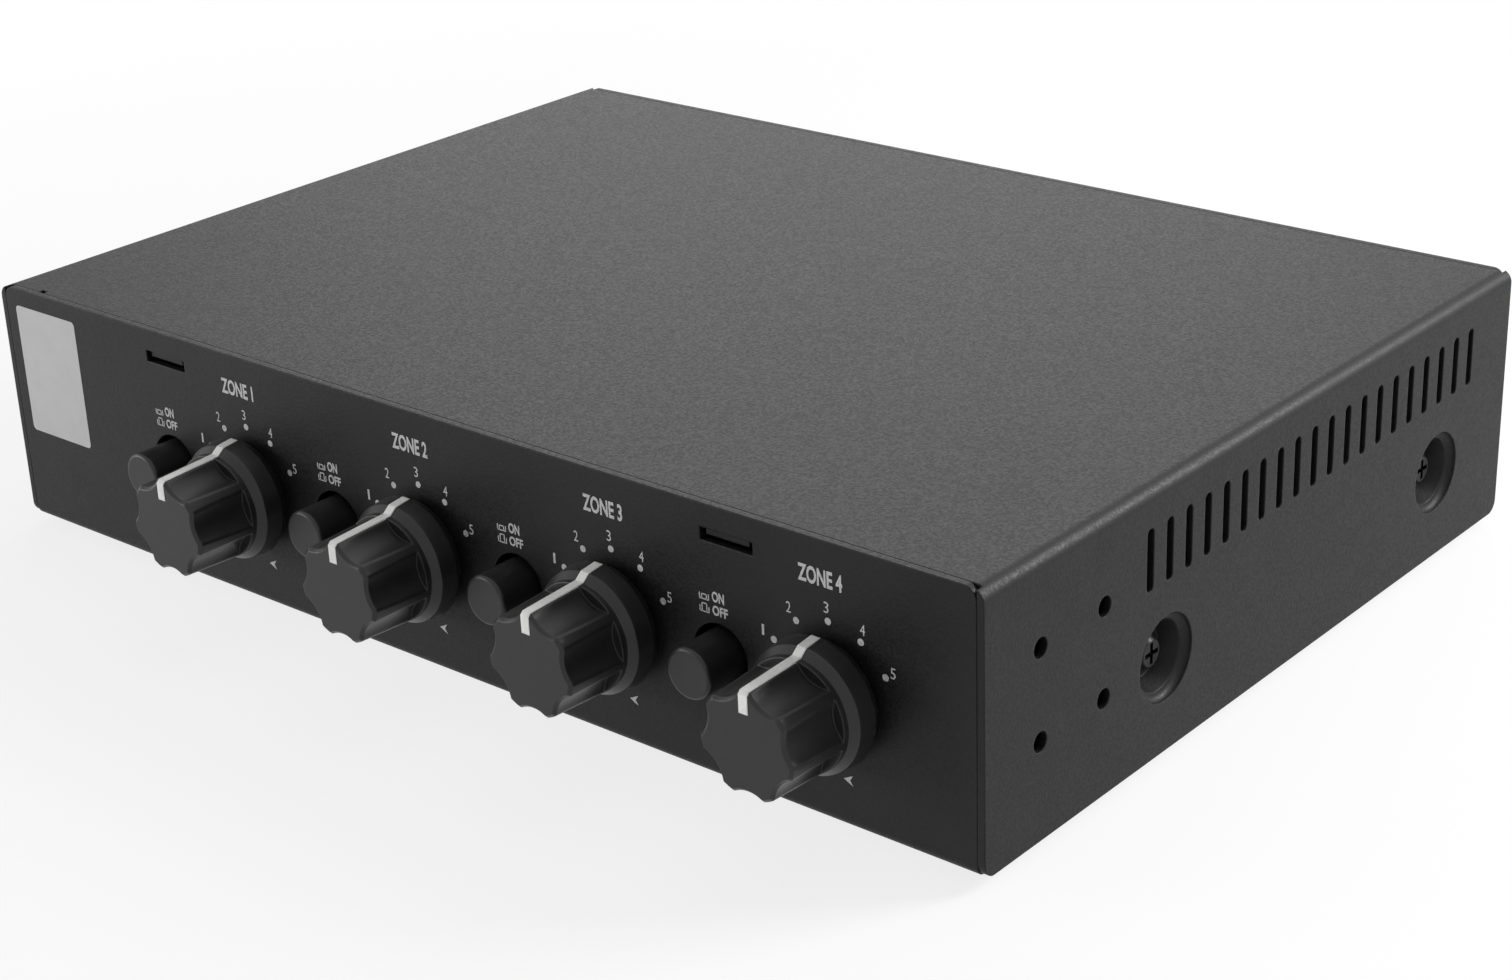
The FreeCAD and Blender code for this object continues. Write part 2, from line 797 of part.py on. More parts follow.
def cut_flutes(body):
    """Scoop the finger flutes down to small floors above the shoulder."""
    start = "(flute_valley + flute_radius)"
    flute = sketch_on(body, "XY_Plane", "flute", out="knob_reach")
    circle(flute, f"{start} * sin(180 / flute_count)", f"{start} * cos(180 / flute_count)",
           "flute_radius")
    first = pocket(body, flute, "knob_reach - flute_floor")
    ring(body, [first], "flute_count")
    tall = 0.9 * value("knob_reach - flute_floor")
    outside = value("flute_valley") + 0.3

    def is_lobe_edge(edge):
        middle = edge.valueAt((edge.FirstParameter + edge.LastParameter) / 2)
        return edge.BoundBox.ZLength > tall and Vector(middle.x, middle.y, 0).Length > outside

    round_edges(body, "lobes", "lobe_round", is_lobe_edge)
    top = value("knob_reach") - 1e-4
    bevel_edges(body, "face", "face_round", lambda edge: edge.BoundBox.ZMin > top)


def pointer_strip(body, name, proud):
    """The pointer's bent strip: cut as a groove, or raised as the white inlay."""
    strip = sketch_on(body, "YZ_Plane", name)
    outline(strip, [
        (f"skirt_radius + {proud}", "skirt_low"),
        (f"skirt_top_radius + {proud}", "skirt_top"),
        (f"shoulder_radius + {proud}", f"shoulder_top + {proud}"),
        (f"face_radius + {proud}", f"knob_reach - face_round"),
        (f"face_radius - face_round", f"knob_reach + {proud}"),
        ("pointer_inner", f"knob_reach + {proud}"),
        ("pointer_inner", "knob_reach - pointer_deep"),
        ("face_radius - face_round - pointer_deep", "knob_reach - pointer_deep"),
        ("face_radius - pointer_deep", "knob_reach - face_round - pointer_deep"),
        ("shoulder_radius - pointer_deep", "shoulder_top - pointer_deep"),
        ("skirt_top_radius - pointer_deep", "skirt_top - pointer_deep"),
        ("skirt_radius - pointer_deep", "skirt_low"),
    ])
    if name == "groove":
        cut = doc.addObject("PartDesign::Pocket", strip.Name + "_pocket")
        body.addObject(cut)
        cut.Profile = strip
        cut.SideType = "Symmetric"
        bind(cut, Length="pointer_width")
        finish_feature(body, cut, False)
    else:
        pad(body, strip, "pointer_width", both=True)


def make_pointer(zone):
    """The white line inlaid in a knob."""
    body = new_body("pointer_line_%d" % zone)
    pointer_strip(body, "strip", "pointer_proud")
    place(body, zone_x(zone), FRONT, AXIS_Z, OUTWARDS)


def make_shaft(zone):
    """The flatted shaft that the knob pushes onto."""
    body = new_body("switch_shaft_%d" % zone)
    section = sketch_on(body, "XY_Plane", "section", out="-shaft_inside")
    circle(section, "0", "0", "shaft_radius")
    pad(body, section, "shaft_inside + shaft_reach")
    flat = sketch_on(body, "XY_Plane", "flat", out="shaft_reach")
    rectangle(flat, "-shaft_radius - 1", "-shaft_radius - 1",
              "shaft_radius + 1", "shaft_flat - shaft_radius")
    pocket(body, flat, "shaft_reach - cavity_top")
    place(body, zone_x(zone), FRONT, AXIS_Z, OUTWARDS)


def make_rotary_switch(zone):
    """The five-position switch with its threaded bushing."""
    body = new_body("rotary_switch_%d" % zone)
    case = sketch_on(body, "XY_Plane", "case", out="-control_back")
    rounded_rectangle(case, "(rotary_side / 2)", "(rotary_side / 2)", "rotary_corner")
    pad(body, case, "control_back - sheet_thick")
    bushing = sketch_on(body, "XY_Plane", "bushing", out="-sheet_thick")
    circle(bushing, "0", "0", "bushing_radius")
    pad(body, bushing, "sheet_thick + bushing_reach")
    bore = sketch_on(body, "XY_Plane", "bore", out="bushing_reach")
    circle(bore, "0", "0", "shaft_radius + running_gap")
    pocket(body, bore, "bushing_reach + shaft_inside + 0.3")
    place(body, zone_x(zone), FRONT, AXIS_Z, OUTWARDS)


def make_bushing_hardware():
    """A washer and a thin nut on each bushing, hidden by the knob."""
    washer = new_body("washer_master", export=False)
    ring_sketch = sketch_on(washer, "XY_Plane", "section")
    circle(ring_sketch, "0", "0", "washer_radius")
    circle(ring_sketch, "0", "0", "bushing_radius + running_gap")
    pad(washer, ring_sketch, "washer_tall")
    nut = new_body("bushing_nut_master", export=False)
    section = sketch_on(nut, "XY_Plane", "section", out="washer_tall")
    hexagon(section, "bushing_nut_flats")
    circle(section, "0", "0", "bushing_radius + running_gap")
    pad(nut, section, "bushing_nut_tall")
    spots = [(zone_x(zone), FRONT, AXIS_Z, OUTWARDS) for zone in ZONES]
    group("bushing_washers", washer, spots)
    group("bushing_nuts", nut, spots)


# Push button and its switch, in the same outward frame

def button_x(zone):
    """The X of a zone's button."""
    return f"{zone_x(zone)} - button_aside"


def make_button(zone):
    """The round cap that stands out of the panel."""
    body = new_body("power_button_%d" % zone)
    profile = sketch_on(body, "XZ_Plane", "profile")
    bore = "plunger_radius + fit_gap"
    outline(profile, [
        (bore, "-button_tail"), ("button_radius", "-button_tail"),
        ("button_radius", "button_reach - button_round", "button_round", 1),
        ("button_radius - button_round", "button_reach"), ("0", "button_reach"),
        ("0", "plunger_top + fit_gap"), (bore, "plunger_top + fit_gap"),
    ])
    revolve(body, profile)
    place(body, button_x(zone), FRONT, AXIS_Z, OUTWARDS)


def make_plunger(zone):
    """The rod that carries the cap into the switch."""
    body = new_body("button_plunger_%d" % zone)
    section = sketch_on(body, "XY_Plane", "section", out="-plunger_end")
    circle(section, "0", "0", "plunger_radius")
    pad(body, section, "plunger_end + plunger_top")
    place(body, button_x(zone), FRONT, AXIS_Z, OUTWARDS)


def make_push_switch(zone):
    """The latching switch on the control board."""
    body = new_body("push_switch_%d" % zone)
    case = sketch_on(body, "XY_Plane", "case", out="-control_back")
    rectangle(case, "-push_side / 2", "-push_side / 2", "push_side / 2", "push_side / 2")
    pad(body, case, "control_back - push_front")
    bore = sketch_on(body, "XY_Plane", "bore", out="-push_front")
    circle(bore, "0", "0", "plunger_radius + running_gap")
    pocket(body, bore, "plunger_end - push_front + button_travel + 0.5")
    place(body, button_x(zone), FRONT, AXIS_Z, OUTWARDS)


# Boards and autoformers

def make_boards():
    """The upright board behind the switches and the board on the tray."""
    control = new_body("control_board")
    face = sketch_on(control, "XZ_Plane", "face", out=f"-({FRONT} + control_back + board_thick)")
    rectangle(face, f"-{BOARD_HALF}", f"{BOARD_TOP} + control_lift",
              BOARD_HALF, "case_height - sheet_thick - control_gap")
    pad(control, face, "board_thick")
    place(control, z="foot_height")
    main = new_body("main_board")
    plan = sketch_on(main, "XY_Plane", "plan", out="sheet_thick + standoff_tall")
    rectangle(plan, f"-{BOARD_HALF}", f"{FRONT} + control_back + board_thick + board_gap",
              BOARD_HALF, f"{BACK} - sheet_thick - board_gap")
    for x, y in standoff_spots():
        circle(plan, x, y, SCREW_HOLE)
    pad(main, plan, "board_thick")
    place(main, z="foot_height")


def make_headers():
    """Right-angle pin headers that join the two boards."""
    header = new_body("pin_header_master", export=False)
    bar = sketch_on(header, "XY_Plane", "bar", out="header_rise - header_side / 2")
    rectangle(bar, "-header_long / 2", "0", "header_long / 2", "header_side")
    pad(header, bar, "header_side")
    first = "-3.5 * pin_pitch"
    arm = "header_side + pin_side * 3"
    pins = sketch_on(header, "YZ_Plane", "pins", out=f"{first} - pin_side / 2")
    outline(pins, [
        ("header_side / 2", "header_rise - pin_side / 2"),
        (f"{arm} - pin_side", "header_rise - pin_side / 2"), (f"{arm} - pin_side", "0"),
        (arm, "0"), (arm, "header_rise + pin_side / 2"),
        ("header_side / 2", "header_rise + pin_side / 2"),
    ])
    first_pin = pad(header, pins, "pin_side")
    row(header, [first_pin], "X_Axis", "8", "7 * pin_pitch", grows=True)
    group("pin_headers", header, [
        (zone_x(zone), f"{FRONT} + control_back + board_thick",
         f"foot_height + {BOARD_TOP}", None) for zone in ZONES])


def make_autoformers():
    """Core, bobbin and winding of a stereo pair for every zone."""
    core = new_body("core_master", export=False)
    lamination = sketch_on(core, "XZ_Plane", "lamination")
    rectangle(lamination, "-core_wide / 2", "0", "core_wide / 2", "core_tall")
    low = "(core_tall - window_tall) / 2"
    high = "(core_tall + window_tall) / 2"
    rectangle(lamination, "core_leg / 2", low, "core_leg / 2 + window_wide", high)
    rectangle(lamination, "-core_leg / 2 - window_wide", low, "-core_leg / 2", high)
    pad(core, lamination, "core_stack", both=True)

    inner_x = "core_leg / 2 + bobbin_gap"
    inner_y = "core_stack / 2 + bobbin_gap"
    tall = "window_tall - 2 * bobbin_gap"
    flange = "(window_wide - bobbin_gap - flange_gap)"
    bobbin = new_body("bobbin_master", export=False)
    block = sketch_on(bobbin, "XY_Plane", "block", out=f"{low} + bobbin_gap")
    rectangle(block, f"-({inner_x} + {flange})", f"-({inner_y} + {flange})",
              f"{inner_x} + {flange}", f"{inner_y} + {flange}")
    rectangle(block, f"-({inner_x})", f"-({inner_y})", inner_x, inner_y)
    pad(bobbin, block, tall)
    space = sketch_on(bobbin, "XY_Plane", "space", out=f"{high} - bobbin_gap - bobbin_wall")
    reach = "bobbin_wall"
    rectangle(space, "-core_wide", "-core_wide", "core_wide", "core_wide")
    rectangle(space, f"-({inner_x} + {reach})", f"-({inner_y} + {reach})",
              f"{inner_x} + {reach}", f"{inner_y} + {reach}")
    pocket(bobbin, space, f"{tall} - 2 * bobbin_wall")

    winding = new_body("winding_master", export=False)
    turns = sketch_on(winding, "XY_Plane", "turns", out=f"{low} + bobbin_gap + bobbin_wall")
    rounded_rectangle(turns, f"({inner_x} + {flange} - winding_gap)",
                      f"({inner_y} + {flange} - winding_gap)", "winding_corner")
    rectangle(turns, f"-({inner_x} + {reach})", f"-({inner_y} + {reach})",
              f"{inner_x} + {reach}", f"{inner_y} + {reach}")
    pad(winding, turns, f"{tall} - 2 * bobbin_wall")

    for zone in ZONES:
        spots = [(zone_x(zone), f"{FRONT} + {along}", f"foot_height + {BOARD_TOP}", None)
                 for along in ("former_front", "former_front + former_pitch")]
        group("autoformer_core_%d" % zone, core, spots)
        group("autoformer_bobbin_%d" % zone, bobbin, spots)
        group("autoformer_winding_%d" % zone, winding, spots)


# Rear terminals

def terminal_x(number):
    """The X of a terminal block: the input first, then the zones."""
    return f"terminal_left - case_width / 2 + {TERMINAL_PITCH} * {number}"


def terminal_name(number):
    """The input's block, or a zone's."""
    return "terminal_block_input" if number == 0 else "terminal_block_%d" % number


def make_terminal_block(number):
    """A four-pole block: square wire entries below, screws above them.
    Its own frame has y = 0 at the back and z = 0 on the board."""
    body = new_body(terminal_name(number))
    face = sketch_on(body, "XZ_Plane", "face")
    half = "terminal_wide / 2"
    outline(face, [
        (f"-{half}", "0"), (half, "0"), (half, "terminal_tall - 1"),
        (f"{half} - 1", "terminal_tall"), (f"1 - {half}", "terminal_tall"),
        (f"-{half}", "terminal_tall - 1"),
    ])
    pad(body, face, "terminal_deep")
    first = "-1.5 * pole_pitch"
    entry = sketch_on(body, "XZ_Plane", "entry")
    rectangle(entry, f"{first} - wire_side / 2", "wire_rise",
              f"{first} + wire_side / 2", "wire_rise + wire_side")
    entry_cut = pocket(body, entry, "wire_deep", back=True)
    driver = sketch_on(body, "XZ_Plane", "driver")
    circle(driver, first, "driver_rise", "driver_radius")
    driver_cut = pocket(body, driver, "driver_deep", back=True)
    row(body, [entry_cut, driver_cut], "X_Axis", "4", "3 * pole_pitch")
    place(body, terminal_x(number), f"{BACK} + terminal_proud", f"foot_height + {BOARD_TOP}")


def make_pole_parts():
    """The clamp screws and metal cages of every pole."""
    screw = new_body("pole_screw_master", export=False)
    head = sketch_on(screw, "XZ_Plane", "head")
    circle(head, "0", "0", POLE_SCREW)
    pad(screw, head, "pole_screw_tall")
    cage = new_body("wire_clamp_master", export=False)
    frame = sketch_on(cage, "XZ_Plane", "frame")
    half = "wire_side / 2"
    rectangle(frame, f"-{half}", "0", half, "wire_side")
    rectangle(frame, f"clamp_wall - {half}", "clamp_wall", f"{half} - clamp_wall",
              "wire_side - clamp_wall")
    pad(cage, frame, "clamp_deep")
    screws = []
    cages = []
    for number in range(int(SIZES["terminal_count"])):
        for pole in range(4):
            x = f"{terminal_x(number)} + pole_pitch * ({pole} - 1.5)"
            screws.append((x, f"{BACK} + terminal_proud - driver_deep + pole_screw_tall",
                           f"foot_height + {BOARD_TOP} + driver_rise", None))
            cages.append((x, f"{BACK} + terminal_proud - wire_deep + clamp_deep",
                          f"foot_height + {BOARD_TOP} + wire_rise", None))
    group("terminal_screws", screw, screws)
    group("wire_clamps", cage, cages)


def build():
    """Make every sub-part."""
    fill_sheet()
    make_chassis()
    make_cover()
    make_feet()
    make_cover_fasteners()
    make_board_fasteners()
    for zone in ZONES:
        make_knob(zone)
        make_pointer(zone)
        make_shaft(zone)
        make_rotary_switch(zone)
        make_button(zone)
        make_plunger(zone)
        make_push_switch(zone)
    make_bushing_hardware()
    make_boards()
    make_headers()
    make_autoformers()
    for number in range(int(SIZES["terminal_count"])):
        make_terminal_block(number)
    make_pole_parts()
    doc.recompute()


def check():
    """Stop if any object failed or any sub-part is not sound."""
    for item in doc.Objects:
        if "Invalid" in item.State or "Error" in item.State:
            raise RuntimeError(item.Name + " failed: " + str(item.State))
    for label, item in parts.items():
        if item.Shape.isNull() or not item.Shape.isValid() or not item.Shape.Solids:
            raise RuntimeError(label + " has no sound shape")


def export():
    """Write each sub-part to its own file."""
    os.makedirs("parts", exist_ok=True)
    for label, item in parts.items():
        item.Shape.exportStep("parts/%s.step" % label)
        print("%-22s %3d solids %10.1f mm3" % (
            label, len(item.Shape.Solids), item.Shape.Volume))


build()
check()
export()
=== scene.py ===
import math

import bmesh
import bpy
from bpy.props import FloatProperty, FloatVectorProperty, PointerProperty
from mathutils import Euler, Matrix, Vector


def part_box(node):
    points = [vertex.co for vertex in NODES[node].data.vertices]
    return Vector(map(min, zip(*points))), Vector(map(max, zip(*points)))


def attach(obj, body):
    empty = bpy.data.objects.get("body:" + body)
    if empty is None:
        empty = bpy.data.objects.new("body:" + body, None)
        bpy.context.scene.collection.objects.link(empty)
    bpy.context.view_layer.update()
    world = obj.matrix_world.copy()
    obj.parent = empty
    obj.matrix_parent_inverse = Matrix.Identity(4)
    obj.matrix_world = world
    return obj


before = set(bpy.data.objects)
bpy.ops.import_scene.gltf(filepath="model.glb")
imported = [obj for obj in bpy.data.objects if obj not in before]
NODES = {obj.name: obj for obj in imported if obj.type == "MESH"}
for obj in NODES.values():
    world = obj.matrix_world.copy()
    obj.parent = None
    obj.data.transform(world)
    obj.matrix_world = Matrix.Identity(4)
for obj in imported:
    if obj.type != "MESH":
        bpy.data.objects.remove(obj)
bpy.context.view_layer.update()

bl_info = {
    "name": "Zone Speaker Selector",
    "version": (1, 0, 0),
    "blender": (4, 5, 0),
    "location": "View3D > Sidebar > Selector",
    "description": "Finishes and printing for a four-zone speaker selector in a half-rack steel box",
    "category": "Object",
}

MM = 0.001
ZONES = (1, 2, 3, 4)


def linear(code):
    """Turn an sRGB hex colour into linear red, green and blue."""
    channels = [int(code[i:i + 2], 16) / 255 for i in (1, 3, 5)]
    return tuple(c / 12.92 if c <= 0.04045 else ((c + 0.055) / 1.055) ** 2.4 for c in channels)


def axis_of(node):
    """The middle of a node across the front panel: its X and Z."""
    low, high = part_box(node)
    return (low.x + high.x) / 2, (low.z + high.z) / 2


KNOB_AXES = [axis_of(f"switch_shaft_{zone}") for zone in ZONES]
BUTTON_AXES = [axis_of(f"power_button_{zone}") for zone in ZONES]
PANEL_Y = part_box("chassis")[0].y
BASE_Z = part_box("top_cover")[0].z


class CaseSettings(bpy.types.PropertyGroup):
    coat: FloatVectorProperty(
        name="Coat", description="Colour of the powder coat", subtype="COLOR",
        size=3, min=0, max=1, default=linear("#141313"))
    grit: FloatProperty(
        name="Grit", description="Width of the coat's grains", unit="LENGTH",
        min=0.0001, max=0.003, default=0.42 * MM)
    fold: FloatProperty(
        name="Coated edges", description="Radius to which the coat rounds the cut edges",
        unit="LENGTH", min=0.00005, max=0.001, default=0.35 * MM)
    screw: FloatVectorProperty(
        name="Screws", description="Colour of the blackened screws", subtype="COLOR",
        size=3, min=0, max=1, default=linear("#1b1b1c"))


class ControlSettings(bpy.types.PropertyGroup):
    knob: FloatVectorProperty(
        name="Knobs", description="Colour of the moulded knobs", subtype="COLOR",
        size=3, min=0, max=1, default=linear("#242222"))
    button: FloatVectorProperty(
        name="Buttons", description="Colour of the moulded buttons", subtype="COLOR",
        size=3, min=0, max=1, default=linear("#262425"))
    pointer: FloatVectorProperty(
        name="Pointers", description="Colour of the inlaid pointers", subtype="COLOR",
        size=3, min=0, max=1, default=linear("#f2f2f0"))
    spark_grain: FloatProperty(
        name="Mould texture", description="Width of the grains left by the spark-eroded mould",
        unit="LENGTH", min=0.00005, max=0.001, default=0.16 * MM)
    mould_edge: FloatProperty(
        name="Moulded edges", description="Radius to which moulded edges look rounded",
        unit="LENGTH", min=0.00005, max=0.0005, default=0.3 * MM)


class PrintSettings(bpy.types.PropertyGroup):
    ink: FloatVectorProperty(
        name="Ink", description="Colour of the screen print", subtype="COLOR",
        size=3, min=0, max=1, default=linear("#c2c2c3"))
    film: FloatProperty(
        name="Ink film", description="How far the dry ink stands off the panel",
        unit="LENGTH", min=0.00001, max=0.0002, default=0.04 * MM)
    dial_radius: FloatProperty(
        name="Dial radius", description="From a knob's axis to its ring of dots",
        unit="LENGTH", min=0.005, max=0.03, default=11.4 * MM)
    dot_radius: FloatProperty(
        name="Dot radius", description="Radius of one dot of a dial",
        unit="LENGTH", min=0.0001, max=0.002, default=0.55 * MM)
    step: FloatProperty(
        name="Dial step", description="Turn from one dot to the next",
        subtype="ANGLE", min=0.1, max=1.2, default=math.radians(30))


class StageSettings(bpy.types.PropertyGroup):
    floor: FloatVectorProperty(
        name="Floor", description="Colour of the floor", subtype="COLOR",
        size=3, min=0, max=1, default=linear("#f7f7f7"))
    reach: FloatProperty(
        name="Floor reach", description="Radius of the floor that shows shadow",
        unit="LENGTH", min=0.1, max=5, default=0.45)


# Making materials

# Where the vector version of a map range node keeps its two results
TO_MIN, TO_MAX = 9, 10
# How many radians a wave texture turns for each unit of its scaled coordinate
WAVE_TURN = 20


def add_node(tree, kind, settings=(), inputs=(), links=()):
    """Add a shader node with its settings, its socket values and what feeds its sockets."""
    node = tree.nodes.new("ShaderNode" + kind)
    for name, value in dict(settings).items():
        setattr(node, name, value)
    for name, value in dict(inputs).items():
        node.inputs[name].default_value = value
    for name, source in dict(links).items():
        tree.links.new(source, node.inputs[name])
    return node


def start_finish(name, colour, roughness, metallic=0.0, ior=1.5, sheen=0.5):
    """A new material with one shader. It gives the material, its tree and the shader.
    The sheen is how strongly the surface mirrors, where 0.5 is what its index gives."""
    finish = bpy.data.materials.new(name)
    finish.use_nodes = True
    tree = finish.node_tree
    tree.nodes.clear()
    shader = add_node(tree, "BsdfPrincipled", inputs={
        "Base Color": (*colour, 1), "Roughness": roughness, "Metallic": metallic, "IOR": ior,
        "Specular IOR Level": sheen})
    add_node(tree, "OutputMaterial", links={"Surface": shader.outputs["BSDF"]})
    return finish, tree, shader


def grain(tree, shader, width, height, colour, spread, rough, rough_spread,
          stretch=(1, 1, 1), edge=0.0):
    """Cover a surface with fine grains: their bump, and a little change in colour and gloss.
    The width and height of a grain are real sizes, stretch draws it out along an axis, and
    edge is the radius to which sharp edges look rounded."""
    place = add_node(tree, "TexCoord")
    scaled = add_node(tree, "Mapping", inputs={"Scale": stretch},
                      links={"Vector": place.outputs["Object"]})
    fine = add_node(tree, "TexNoise", inputs={"Scale": 1 / width, "Detail": 2.0},
                    links={"Vector": scaled.outputs["Vector"]})
    broad = add_node(tree, "TexNoise", inputs={"Scale": 0.06 / width, "Detail": 3.0},
                     links={"Vector": scaled.outputs["Vector"]})
    both = add_node(tree, "Math", {"operation": "MULTIPLY_ADD"}, {1: 0.6},
                    {0: fine.outputs["Fac"], 2: broad.outputs["Fac"]})
    dark = tuple(c * (1 - spread) for c in colour)
    light = tuple(min(1, c * (1 + spread)) for c in colour)
    tint = add_node(tree, "MapRange", {"data_type": "FLOAT_VECTOR"}, {
        "From Min": (0.6,) * 3, "From Max": (1.0,) * 3,
        TO_MIN: dark, TO_MAX: light}, {"Vector": both.outputs["Value"]})
    gloss = add_node(tree, "MapRange", inputs={
        "From Min": 0.35, "From Max": 0.65,
        "To Min": rough - rough_spread, "To Max": rough + rough_spread},
        links={"Value": fine.outputs["Fac"]})
    bump = add_node(tree, "Bump", inputs={"Strength": 1.0, "Distance": height},
                    links={"Height": fine.outputs["Fac"]})
    if edge:
        soft = add_node(tree, "Bevel", {"samples": 6}, {"Radius": edge})
        tree.links.new(soft.outputs["Normal"], bump.inputs["Normal"])
    tree.links.new(tint.outputs["Vector"], shader.inputs["Base Color"])
    tree.links.new(gloss.outputs["Result"], shader.inputs["Roughness"])
    tree.links.new(bump.outputs["Normal"], shader.inputs["Normal"])
    return place, bump


def bands(tree, shader, grains, axis, pitch, strength, height):
    """Raise even bands that follow each other along an axis, over the grains."""
    place, bump = grains
    wave = add_node(tree, "TexWave", {"wave_type": "BANDS", "bands_direction": axis}, {
        "Scale": math.tau / (WAVE_TURN * pitch)}, {"Vector": place.outputs["Object"]})
    raised = add_node(tree, "Bump", inputs={"Strength": strength, "Distance": height},
                      links={"Height": wave.outputs["Fac"], "Normal": bump.outputs["Normal"]})
    tree.links.new(raised.outputs["Normal"], shader.inputs["Normal"])


def powder_coated_steel():
    """Fine black polyester powder, baked on folded steel: a dull sheen broken by small
    rounded bumps, with no brush marks."""
    case = bpy.context.scene.selector_case
    roughness = 0.5
    finish, tree, shader = start_finish("powder_coated_steel", case.coat, roughness, sheen=0.24)
    grain(tree, shader, case.grit, 0.03 * MM, case.coat, 0.2, roughness, 0.07, edge=case.fold)
    return finish


def blackened_steel():
    """Black oxide on a turned and stamped steel screw: dark, oily and slightly worn."""
    colour = bpy.context.scene.selector_case.screw
    roughness = 0.38
    finish, tree, shader = start_finish("black_oxide_steel", colour, roughness, metallic=0.7)
    grain(tree, shader, 0.3 * MM, 0.008 * MM, colour, 0.35, roughness, 0.08)
    return finish


def moulded_plastic(name, colour, roughness, width, height):
    """ABS from a spark-eroded mould: an even dull surface of tiny pits, with soft gloss."""
    finish, tree, shader = start_finish(name, colour, roughness, ior=1.53, sheen=0.32)
    edge = bpy.context.scene.selector_control.mould_edge
    grain(tree, shader, width, height, colour, 0.1, roughness, 0.05, edge=edge)
    return finish


def plated_metal(name, colour, roughness):
    """Bright plating on a small turned part: fine turning marks run round it."""
    finish, tree, shader = start_finish(name, colour, roughness, metallic=1.0)
    grain(tree, shader, 0.25 * MM, 0.004 * MM, colour, 0.08, roughness, 0.07, (1, 6, 1))
    return finish


def moulded_rubber():
    """Black rubber, moulded dull, with dust in its pits."""
    colour = linear("#1c1c1b")
    roughness = 0.85
    finish, tree, shader = start_finish("moulded_rubber", colour, roughness)
    grain(tree, shader, 0.5 * MM, 0.02 * MM, colour, 0.3, roughness, 0.05)
    return finish


def screen_print():
    """Epoxy ink pulled through a mesh screen: flat, matt, and slightly thin in places."""
    ink = bpy.context.scene.selector_print.ink
    roughness = 0.6
    finish, tree, shader = start_finish("screen_printed_epoxy_ink", ink, roughness)
    grain(tree, shader, 0.22 * MM, 0.006 * MM, ink, 0.03, roughness, 0.05)
    return finish


def solder_mask():
    """Green solder mask over glass epoxy: glossy, and raised by copper tracks 1.3 mm apart."""
    colour = linear("#1f5a35")
    roughness = 0.3
    finish, tree, shader = start_finish("solder_masked_glass_epoxy", colour, roughness)
    grains = grain(tree, shader, 0.8 * MM, 0.01 * MM, colour, 0.15, roughness, 0.05)
    bands(tree, shader, grains, "X", 1.3 * MM, 0.4, 0.03 * MM)
    return finish


def stacked_laminations():
    """Varnished silicon steel sheets 0.5 mm thick, stacked along Y, so that their edges show
    as fine lines."""
    colour = linear("#4a4644")
    roughness = 0.5
    finish, tree, shader = start_finish("varnished_silicon_steel", colour, roughness, metallic=0.6)
    grains = grain(tree, shader, 0.4 * MM, 0.01 * MM, colour, 0.25, roughness, 0.1)
    bands(tree, shader, grains, "Y", 0.5 * MM, 0.8, 0.1 * MM)
    return finish


def wound_wire():
    """Enamelled copper wire, 0.7 mm thick, wound in level turns under amber varnish."""
    colour = linear("#a5552c")
    roughness = 0.28
    finish, tree, shader = start_finish("enamelled_copper_wire", colour, roughness, metallic=0.9)
    grains = grain(tree, shader, 0.5 * MM, 0.01 * MM, colour, 0.2, roughness, 0.06)
    bands(tree, shader, grains, "Z", 0.7 * MM, 1.0, 0.25 * MM)
    return finish


def dress(finish, *names):
    """Give CAD nodes a material."""
    for name in names:
        slots = NODES[name].data.materials
        slots.clear()
        slots.append(finish)


def every(stem):
    """The names of a node that each zone has."""
    return [f"{stem}_{zone}" for zone in ZONES]


# Printing on the front panel

def screen_print_once():
    """The one ink that all the printing shares."""
    return bpy.data.materials.get("screen_printed_epoxy_ink") or screen_print()


def to_panel(name, mesh):
    """Put a thin film of ink on the front panel as printing."""
    piece = bpy.data.objects.new(name, mesh)
    bpy.context.scene.collection.objects.link(piece)
    mesh.materials.clear()
    mesh.materials.append(screen_print_once())
    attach(piece, "case")


def film_of(shapes):
    """A thin film of ink from flat outlines, each a list of (x, z) running anticlockwise."""
    film = bpy.context.scene.selector_print.film
    build = bmesh.new()
    for outline in shapes:
        base = [build.verts.new((x, PANEL_Y, z)) for x, z in outline]
        top = [build.verts.new((x, PANEL_Y - film, z)) for x, z in outline]
        build.faces.new(top)
        build.faces.new(base[::-1])
        for k, corner in enumerate(base):
            following = (k + 1) % len(base)
            build.faces.new((corner, base[following], top[following], top[k]))
    mesh = bpy.data.meshes.new("ink_film")
    build.to_mesh(mesh)
    build.free()
    return mesh


def disc(x, z, radius, sides=20):
    """A round outline."""
    turns = [math.tau * k / sides for k in range(sides)]
    return [(x + radius * math.cos(t), z + radius * math.sin(t)) for t in turns]


def stroke(start, end, width):
    """A straight line's outline."""
    (x0, z0), (x1, z1) = start, end
    length = math.hypot(x1 - x0, z1 - z0)
    across = (-(z1 - z0) * width / 2 / length, (x1 - x0) * width / 2 / length)
    return [(x0 - across[0], z0 - across[1]), (x1 - across[0], z1 - across[1]),
            (x1 + across[0], z1 + across[1]), (x0 + across[0], z0 + across[1])]


def rounded(left, low, right, high, radius, sides=6):
    """A rectangle's outline with round corners."""
    centres = ((right - radius, low + radius, -90), (right - radius, high - radius, 0),
               (left + radius, high - radius, 90), (left + radius, low + radius, 180))
    points = []
    for x, z, start in centres:
        for k in range(sides + 1):
            turn = math.radians(start + 90 * k / sides)
            points.append((x + radius * math.cos(turn), z + radius * math.sin(turn)))
    return points


